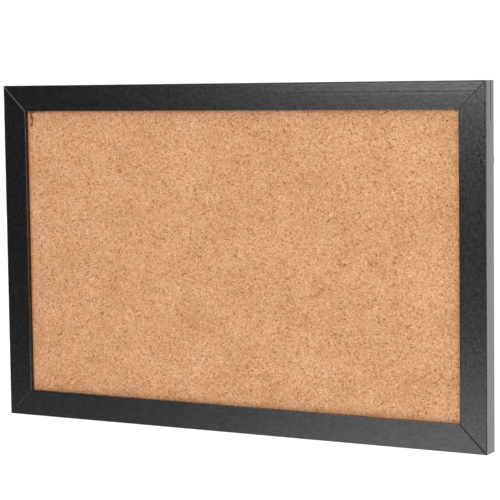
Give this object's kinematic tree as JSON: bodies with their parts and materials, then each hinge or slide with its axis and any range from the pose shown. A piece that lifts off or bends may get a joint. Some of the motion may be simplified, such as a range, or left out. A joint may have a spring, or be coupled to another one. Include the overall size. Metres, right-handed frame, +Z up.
{
  "type": "cork bulletin board",
  "caption": "Framed cork bulletin board for a wall, with a black mitred wooden frame, a soft core behind the cork, a hardboard back, rubber bumpers and swinging D-ring hangers.",
  "frame": {"origin": "on the wall plane, behind the middle of the board", "axes": "+Y from the board's face into the wall, +X along the long side towards the viewer's right as the face is seen, +Z up"},
  "size_m": [0.432, 0.021, 0.279],
  "materials": {
    "black_wood": "satin",
    "cork": "matte",
    "softboard": "matte",
    "hardboard": "satin",
    "zinc_steel": "satin",
    "plated_steel": "gloss",
    "bumper_rubber": "matte"
  },
  "bodies": {
    "board": {"rail_top": "black_wood", "rail_bottom": "black_wood", "rail_left": "black_wood", "rail_right": "black_wood", "v_nails_top_left": "zinc_steel", "v_nails_top_right": "zinc_steel", "v_nails_bottom_left": "zinc_steel", "v_nails_bottom_right": "zinc_steel", "cork_sheet": "cork", "softboard_core": "softboard", "hardboard_back": "hardboard", "tabs_top": "zinc_steel", "tabs_bottom": "zinc_steel", "tabs_left": "zinc_steel", "tabs_right": "zinc_steel", "hanger_strap_left": "plated_steel", "hanger_strap_right": "plated_steel", "hanger_screws_left": "zinc_steel", "hanger_screws_right": "zinc_steel", "bumper_top_left": "bumper_rubber", "bumper_top_right": "bumper_rubber", "bumper_bottom_left": "bumper_rubber", "bumper_bottom_right": "bumper_rubber"},
    "ring_left": {"hanger_ring_left": "plated_steel"},
    "ring_right": {"hanger_ring_right": "plated_steel"}
  },
  "joints": [
    {"name": "ring_left_swing", "type": "hinge", "parent": "board", "child": "ring_left", "pos_m": [-0.20725, -0.00289, 0.085], "axis": [1, 0, 0], "range_deg": [0, 175]},
    {"name": "ring_right_swing", "type": "hinge", "parent": "board", "child": "ring_right", "pos_m": [0.20725, -0.00289, 0.085], "axis": [1, 0, 0], "range_deg": [0, 175]}
  ]
}
